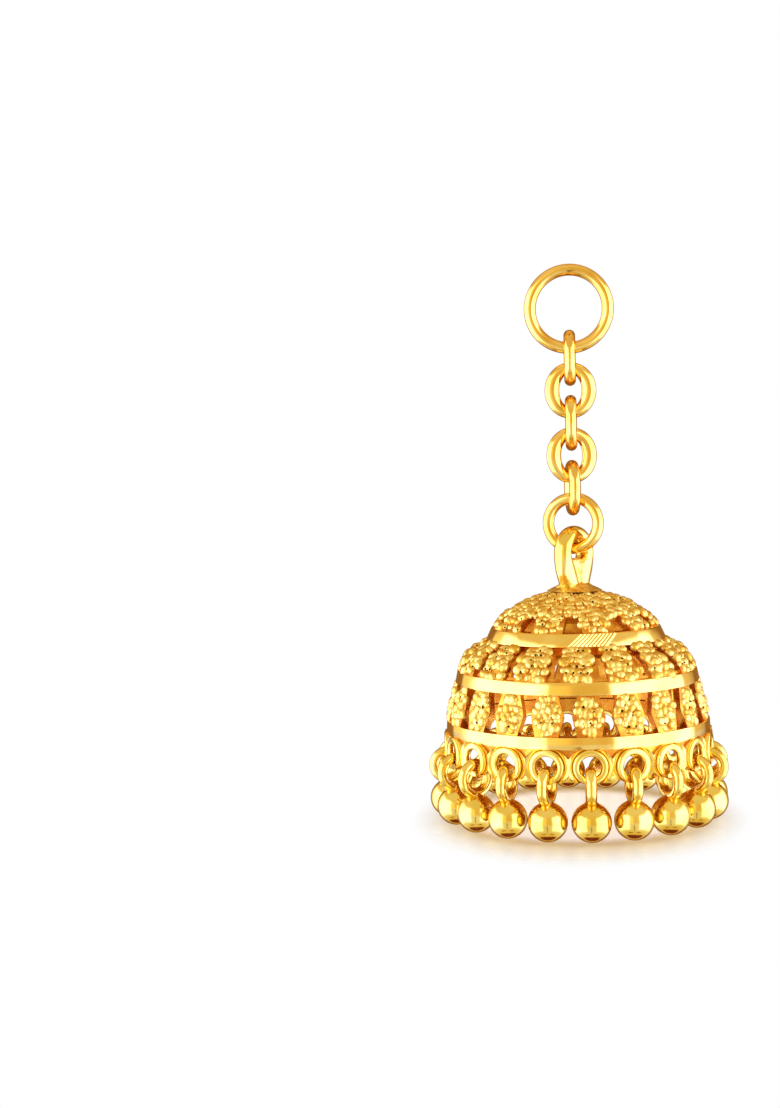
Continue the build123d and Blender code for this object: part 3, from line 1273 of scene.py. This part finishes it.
@dataclass
class Fringe(BellPart):
    """The cast rings under the rim, joined side by side by small bridges with arms up to the rim and down."""

    count: int = FRINGE_COUNT
    first: float = FRINGE_START
    reach: float = FRINGE_REACH
    depth: float = 15.68
    inner_radius: float = 0.80
    wire: float = 0.54
    squareness: float = 0.74  # 1 for round wire, 0 for square
    steps: int = 48
    sides: int = 28
    bridge_rows: int = 21
    web_rows: int = 9
    clearance: float = 0.02  # of the groove between a ring and the bridge beside it
    thickness: float = 0.36  # of bridges and webs
    front: float = 0.20  # how far a bridge's face stands out from the middle of the rings
    lap: float = 0.05  # of a bridge behind the rim's lower edge
    chamfer: float = 0.06
    brow: float = 1 / 3  # how far the face stands out past its outer edge where the chamfer ends, in chamfers
    slope: float = 0.13  # how much a half's face falls back from its inner edge to its outer one
    arm_width: float = 0.42
    foot: float = 1.14  # how far the lower arms reach below the middle of the rings
    shoulder: float = 0.65  # from where down they grow narrower
    blunting: float = 0.02  # how far short of a point they end
    web_front: float = -0.06
    web_foot: float = 0.30  # how far above the middle of the rings a web starts
    web_lap: float = 0.10  # of a web behind the rim
    web_reach: float = 0.25  # and behind the rings to its sides, as a share of their wire

    def room(self, height: float) -> float:
        """Half the width between two rings.

        Args:
            height: Where it is, up from the middle of the rings.

        Returns:
            The half width.
        """
        outer = self.inner_radius + self.wire
        half_pitch = self.reach * math.radians(180 / self.count)
        return half_pitch - math.sqrt(max(outer**2 - height**2, 0.0)) - self.clearance

    def ring(self) -> np.ndarray:
        """Shape one ring from wire that the casting leaves a little square.

        Returns:
            Sections by corners by x, y and z, round a circle in the XZ plane.
        """
        turns = np.linspace(0, 2 * math.pi, self.steps, endpoint=False)
        around = np.linspace(0, 2 * math.pi, self.sides, endpoint=False)
        ways = np.stack([np.cos(around), np.sin(around)])
        across, depth = np.sign(ways) * np.abs(ways) ** self.squareness * self.wire / 2
        out = self.inner_radius + self.wire / 2 + np.broadcast_to(across, (self.steps, self.sides))
        x, z = out * np.cos(turns)[:, None], out * np.sin(turns)[:, None]
        return np.stack([x, np.broadcast_to(depth, out.shape), z], -1)

    def bridge(self, side: int) -> np.ndarray:
        """Shape one half of a bridge: a flat arm beside each ring, parted above and below the bridge's waist.

        Args:
            side: +1 or -1, for the half that lies to the right or left.

        Returns:
            Sections by corners by x, y and z, from the foot up.
        """
        front, back, c = self.front, self.front - self.thickness, self.chamfer
        edge = front - self.slope
        point = self.foot - self.shoulder + self.blunting
        rows = []
        for height in np.linspace(-self.foot, self.depth - RIM.lower[1] + self.lap, self.bridge_rows + 1):
            below = max(-height - self.shoulder, 0.0)
            taper = math.sqrt(1 - below**2 / point**2)
            out = self.room(height)
            inner = max(out - self.arm_width * taper, 0.0)
            inset = min(c, inner)
            corners = [(back, inner), (back, out), (edge - c, out), (edge + c * self.brow, out - c)]
            corners += [(front, inner + inset), (front - inset, inner)]
            rows.append([(x, side * y, height) for x, y in corners[::side]])
        return np.array(rows)[:, ::-1]

    def web(self) -> np.ndarray:
        """Shape the sunk plate that closes the corner between two rings and the rim.

        Returns:
            Sections by corners by x, y and z, from its foot up.
        """
        front, back = self.web_front, self.web_front - self.thickness
        rows = []
        for height in np.linspace(self.web_foot, self.depth - RIM.lower[1] + self.web_lap, self.web_rows + 1):
            half = self.room(height) + self.wire * self.web_reach
            corners = ((front, -half), (front, half), (back, half), (back, -half))
            rows.append([(x, y, height) for x, y in corners])
        return np.array(rows)

    def build(self) -> bpy.types.Object:
        """Build the fringe.

        Returns:
            The fringe's piece.
        """
        shell = Shell(self.coats)
        offset = np.array([self.reach, 0, -self.depth])
        ring, web = turned(self.ring(), 90) + offset, self.web() + offset
        halves = [self.bridge(side) + offset for side in (1, -1)]
        for i in range(self.count):
            turn = self.first + i * 360 / self.count - 90
            beside = turn + 180 / self.count
            shell.loft(turned(ring, turn), Coat.BARREL_POLISHED, closed=True)
            # the sunk webs wear the cast ground, whose deep orange is partly painted shade
            shell.loft(turned(web, beside), Coat.CAST_GROUND, shade=Shade.FLAT)
            for half in halves:
                shell.loft(turned(half, beside), Coat.BARREL_POLISHED)
        return shell.piece("bell_fringe", Body.BELL, self.pivot, "bell")


@dataclass
class BallDrop(BellPart):
    """A loop of wire through a fringe ring, with a polished ball soldered below it."""

    number: int
    azimuth: float
    turn: float
    reach: float = FRINGE_REACH
    loop_depth: float = 17.14
    loop_inner: float = 0.71
    loop_wire: float = 0.82
    ball_radius: float = 1.50
    ball_below: float = 2.66
    solder: tuple[Pair, ...] = ((0.40, 1.00), (0.46, 1.14), (0.56, 1.24), (0.74, 1.36))  # radius and depth
    loop_steps: int = 56
    loop_sides: int = 22
    ball_rings: int = 36
    ball_sides: int = 56
    solder_sides: int = 24

    def build(self) -> bpy.types.Object:
        """Build the drop where its node lies.

        Returns:
            The drop's piece.
        """
        shell = Shell(self.coats)
        place, turn = np.array([self.reach, 0, -self.loop_depth]), self.azimuth - 90
        wire = self.loop_wire / 2
        line = oval(self.loop_inner + wire, self.loop_inner + wire, self.loop_steps)
        loop = turned(bent_wire(line, np.full(self.loop_steps, wire), wire, self.loop_sides), self.turn)
        shell.loft(turned(loop + place, turn), Coat.BARREL_POLISHED, closed=True)
        points, faces = ball(self.ball_rings, self.ball_sides)
        points = points * self.ball_radius + place - [0, 0, self.ball_below]
        shell.add(turned(points, turn), faces, Coat.BARREL_POLISHED)
        rows = [(radius, radius, depth) for radius, depth in self.solder]
        joint = stacked_ovals(rows, self.solder_sides)
        shell.loft(turned(joint + place, turn), Coat.BARREL_POLISHED)
        name = f"drop_{self.number:02d}"
        return shell.piece(name, Body.BELL, self.pivot, f"bell_{name}")


@dataclass
class Bell(BellPart):
    """The bell with its bail, walls, bands, fringe and drops."""

    # how far each drop hangs turned out of its place, round the bell from the first one
    drop_turns: tuple[float, ...] = (
        -4, -9, -11, -6, 4, -10, 14, 5, -22, 8,
        0, 16, -6, 10, -14, 4, 6, -4, 9, -6,
    )

    def build(self) -> list[bpy.types.Object]:
        """Build the bell.

        Returns:
            Its pieces.
        """
        kinds = (Bail, Cap, UpperRow, LowerRow, Bands, Fringe)
        parts = [kind(self.coats, self.pivot) for kind in kinds]
        for i, turn in enumerate(self.drop_turns):
            azimuth = FRINGE_START + i * 360 / FRINGE_COUNT
            parts.append(BallDrop(self.coats, self.pivot, i + 1, azimuth, turn))
        return [part.build() for part in parts]


# ---- studio -------------------------------------------------------------------------------------


@dataclass
class Floor:
    """A pale floor just under the balls, which only the camera sees: the gold is lit by the tent alone."""

    drops: tuple[int, ...] = (1, 6, 11, 16)  # the ones whose lowest point it lies under
    gap: float = 0.15
    radius: float = 60.0
    sides: int = 64
    colour: str = "#E7DFC8"
    roughness: float = 0.35
    squeeze: float = 1.3  # of the sheet's clear edge, from a circle to an oval
    clear_edge: Pair = (11.5, 18.0)  # where the sheet starts to turn clear and where it is gone
    glow: float = 0.62
    glow_edge: Pair = (11.0, 8.0)  # where the light from below sets in and where it is full

    def material(self) -> bpy.types.Material:
        """Make the floor's material.

        Returns:
            A pale satin acrylic sheet, lit from below under the bell, that turns clear towards its edge.
        """
        made = blank_material("pale_acrylic_floor")
        tree = made.node_tree
        place = add_node(tree, "TexCoord").outputs["Object"]
        away = add_node(tree, "VectorMath", {0: place}, operation="LENGTH").outputs["Value"]
        oval_place = {0: place, 1: (self.squeeze, 1.0, 1.0)}
        squeezed = add_node(tree, "VectorMath", oval_place, operation="MULTIPLY").outputs[0]
        off_centre = add_node(tree, "VectorMath", {0: squeezed}, operation="LENGTH").outputs["Value"]
        (start, end), (rim, core) = self.clear_edge, self.glow_edge
        ends = {"Value": off_centre, "From Min": start * MM, "From Max": end * MM}
        fade = add_node(tree, "MapRange", ends, interpolation_type="SMOOTHSTEP").outputs["Result"]
        ends = {"Value": away, "From Min": rim * MM, "From Max": core * MM, "To Max": self.glow}
        glow = add_node(tree, "MapRange", ends, interpolation_type="SMOOTHSTEP").outputs["Result"]
        skin = {
            "Base Color": linear(self.colour),
            "Roughness": self.roughness,
            "Emission Color": (1, 1, 1, 1),
            "Emission Strength": glow,
        }
        sheet = add_node(tree, "BsdfPrincipled", skin).outputs["BSDF"]
        clear = add_node(tree, "BsdfTransparent").outputs["BSDF"]
        both = add_node(tree, "MixShader", {0: fade, 1: sheet, 2: clear}).outputs["Shader"]
        add_node(tree, "OutputMaterial", {"Surface": both})
        return made

    def build(self) -> None:
        """Lay the floor."""
        lowest = min(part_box(f"bell_drop_{i:02d}")[0].z for i in self.drops)
        spins = np.linspace(0, 2 * math.pi, self.sides, endpoint=False)
        rim = np.stack([np.cos(spins), np.sin(spins), np.zeros(self.sides)], 1) * self.radius * MM
        mesh = bpy.data.meshes.new("floor")
        mesh.from_pydata(rim.tolist(), [], [tuple(range(self.sides))])
        mesh.materials.append(self.material())
        made = bpy.data.objects.new("floor", mesh)
        made.location = (0, 0, lowest - self.gap * MM)
        made.visible_diffuse = made.visible_glossy = made.visible_shadow = False
        bpy.context.scene.collection.objects.link(made)
        made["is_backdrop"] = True


class Measure(Enum):
    """What the way to a place in the tent is measured by, in degrees but for the last two."""

    TURN = "from the front towards +X"
    OFF_FRONT = "from the front to either side"
    HEIGHT = "up from the level"
    BEHIND = "share that leads straight back"
    OFF_SHADOW = "distance from the middle of the shadow below, with its oval drawn to a circle"


@dataclass(frozen=True)
class Zone:
    """A part of the tent with soft edges, which covers the zones before it."""

    light: Triple
    edges: tuple[tuple[Measure, float, float], ...]  # each with where it starts to cover and where it is full


PANEL_LIGHT = (2.9, 3.2, 4.7)
PANEL_EDGES = ((Measure.OFF_FRONT, 126, 108), (Measure.HEIGHT, 38, 26), (Measure.HEIGHT, -44, -34))
SHADOW_LIGHT = (0.20, 0.03, 0.02)


@dataclass
class Tent:
    """Two tall white panels and a warm room between, above and behind them."""

    room_light: Triple = (0.93, 0.77, 0.42)

    # a bright warm cloth to the left of the front
    drape: Zone = Zone((1.35, 1.16, 0.68), ((Measure.TURN, -5, -10), (Measure.HEIGHT, 38, 26)))

    # paler light from high up, and cool light from the front below the level
    sky: Zone = Zone((0.97, 0.92, 0.78), ((Measure.HEIGHT, 22, 50),))
    apron: Zone = Zone((0.98, 1.04, 1.20), ((Measure.HEIGHT, -4, -9),))

    # the dark upright gap in the front, which the balls show as a line
    slit: Zone = Zone(
        (0.32, 0.14, 0.04),
        ((Measure.TURN, -6, -3.5), (Measure.TURN, 2, -0.5), (Measure.HEIGHT, -11, -17)),
    )

    # the dim room behind, and what the table throws back
    back: Zone = Zone((0.36, 0.175, 0.045), ((Measure.OFF_FRONT, 128, 146),))
    table: Zone = Zone((0.96, 0.82, 0.46), ((Measure.HEIGHT, -50, -56),))
    right_panel: Zone = Zone(PANEL_LIGHT, ((Measure.TURN, 25, 36), *PANEL_EDGES))
    left_panel: Zone = Zone(PANEL_LIGHT, ((Measure.TURN, -25, -38), *PANEL_EDGES))

    # the ceiling behind the piece, which lights the tops of the balls and granules
    overhead: Zone = Zone((0.90, 0.59, 0.21), ((Measure.HEIGHT, 30, 45), (Measure.BEHIND, 0, 0.3)))

    # dark arcs below the panels, which the balls show near their undersides
    hem: Zone = Zone(
        SHADOW_LIGHT,
        (
            (Measure.HEIGHT, -63.5, -61.5),
            (Measure.HEIGHT, -56.5, -58.5),
            (Measure.OFF_FRONT, 14, 20),
            (Measure.OFF_FRONT, 62, 55),
        ),
    )

    # the shadow of the piece on the table
    shadow: Zone = Zone(SHADOW_LIGHT, ((Measure.OFF_SHADOW, 1.2, 1.0), (Measure.HEIGHT, 0, -9)))
    shadow_squeeze: Triple = (2.6, 3.2, 0.0)
    shadow_middle: Triple = (0.0, 0.5, 0.0)

    def measures(self, tree: bpy.types.NodeTree) -> dict[Measure, bpy.types.NodeSocket]:
        """Work out each measure of the way that is looked along.

        Args:
            tree: The world's node tree.

        Returns:
            The output of each measure.
        """
        way = add_node(tree, "TexCoord").outputs["Generated"]
        split = add_node(tree, "SeparateXYZ", {0: way}).outputs
        ahead = add_node(tree, "Math", {0: split["Y"], 1: -1.0}, operation="MULTIPLY").outputs[0]
        turn = add_node(tree, "Math", {0: split["X"], 1: ahead}, operation="ARCTAN2").outputs[0]
        turn = add_node(tree, "Math", {0: turn}, operation="DEGREES").outputs[0]
        rise = add_node(tree, "Math", {0: split["Z"]}, operation="ARCSINE").outputs[0]
        squeezed = {0: way, 1: self.shadow_squeeze}
        below = add_node(tree, "VectorMath", squeezed, operation="MULTIPLY").outputs[0]
        ends = {0: below, 1: self.shadow_middle}
        return {
            Measure.TURN: turn,
            Measure.OFF_FRONT: add_node(tree, "Math", {0: turn}, operation="ABSOLUTE").outputs[0],
            Measure.HEIGHT: add_node(tree, "Math", {0: rise}, operation="DEGREES").outputs[0],
            Measure.BEHIND: split["Y"],
            Measure.OFF_SHADOW: add_node(tree, "VectorMath", ends, operation="DISTANCE").outputs["Value"],
        }

    def build(self) -> None:
        """Hang the tent, which lights the piece, round a plain white that the camera sees."""
        world = bpy.data.worlds.new("light_tent")
        bpy.context.scene.world = world
        world.use_nodes = True
        tree = world.node_tree
        tree.nodes.clear()
        measures = self.measures(tree)
        around: Any = (*self.room_light, 1.0)
        zones = (self.drape, self.sky, self.apron, self.slit, self.back, self.table)
        zones += (self.right_panel, self.left_panel, self.overhead, self.hem, self.shadow)
        for zone in zones:
            share: Any = 1.0
            for measure, start, full in zone.edges:
                ends = {"Value": measures[measure], "From Min": start, "From Max": full}
                step = add_node(tree, "MapRange", ends, interpolation_type="SMOOTHSTEP").outputs["Result"]
                share = add_node(tree, "Math", {0: share, 1: step}, operation="MULTIPLY").outputs[0]
            lights = {MIX_SHARE: share, MIX_UNDER: around, MIX_OVER: (*zone.light, 1.0)}
            around = add_node(tree, "Mix", lights, data_type="RGBA").outputs[MIX_RESULT]
        seen = add_node(tree, "Background", {"Color": (1, 1, 1, 1), "Strength": 1.0}).outputs["Background"]
        light = add_node(tree, "Background", {"Color": around, "Strength": 1.0}).outputs["Background"]
        straight = add_node(tree, "LightPath").outputs["Is Camera Ray"]
        both = add_node(tree, "MixShader", {0: straight, 1: light, 2: seen}).outputs["Shader"]
        add_node(tree, "OutputWorld", {"Surface": both})


@dataclass
class Viewpoint:
    """The camera, in front of the piece and a little above the bell."""

    distance: float = 132.3
    height: float = -14.32
    lens: float = 53.69
    yaw: float = 6.355
    pitch: float = 3.18
    roll: float = -1.55
    clip: Pair = (0.005, 5.0)  # metres

    def build(self) -> None:
        """Set up the camera and the plain view transform."""
        lens = bpy.data.cameras.new("camera")
        lens.lens = self.lens
        lens.clip_start, lens.clip_end = self.clip
        made = bpy.data.objects.new("camera", lens)
        bpy.context.scene.collection.objects.link(made)
        swing = Matrix.Rotation(math.radians(self.yaw), 4, "Z")
        tip = Matrix.Rotation(math.radians(90 - self.pitch), 4, "X")
        roll = Matrix.Rotation(math.radians(self.roll), 4, "Z")
        place = Matrix.Translation((0, -self.distance * MM, self.height * MM))
        made.matrix_world = place @ swing @ tip @ roll
        bpy.context.scene.camera = made
        bpy.context.scene.view_settings.view_transform = "Standard"


def corners() -> list[list[float]]:
    """Lowest and highest corner of what is shown, as plain numbers."""
    return [[float(v) for v in corner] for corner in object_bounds()]


def main() -> None:
    """Build the earring on its frame and report each piece."""
    logging.basicConfig(level=logging.INFO, format="%(name)s: %(message)s")
    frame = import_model()
    coats = {coat: coat.value.material() for coat in Coat}
    pivot = Vector(frame["joints"][0]["pos_m"])  # of the bell's swing, the only joint
    for assembly in (Chain(coats), Bell(coats, pivot)):
        for piece in assembly.build():
            LOG.info("%s: %d faces", piece.name, len(piece.data.polygons))
    Floor().build()
    Tent().build()
    Viewpoint().build()


if __name__ == "__main__":
    main()
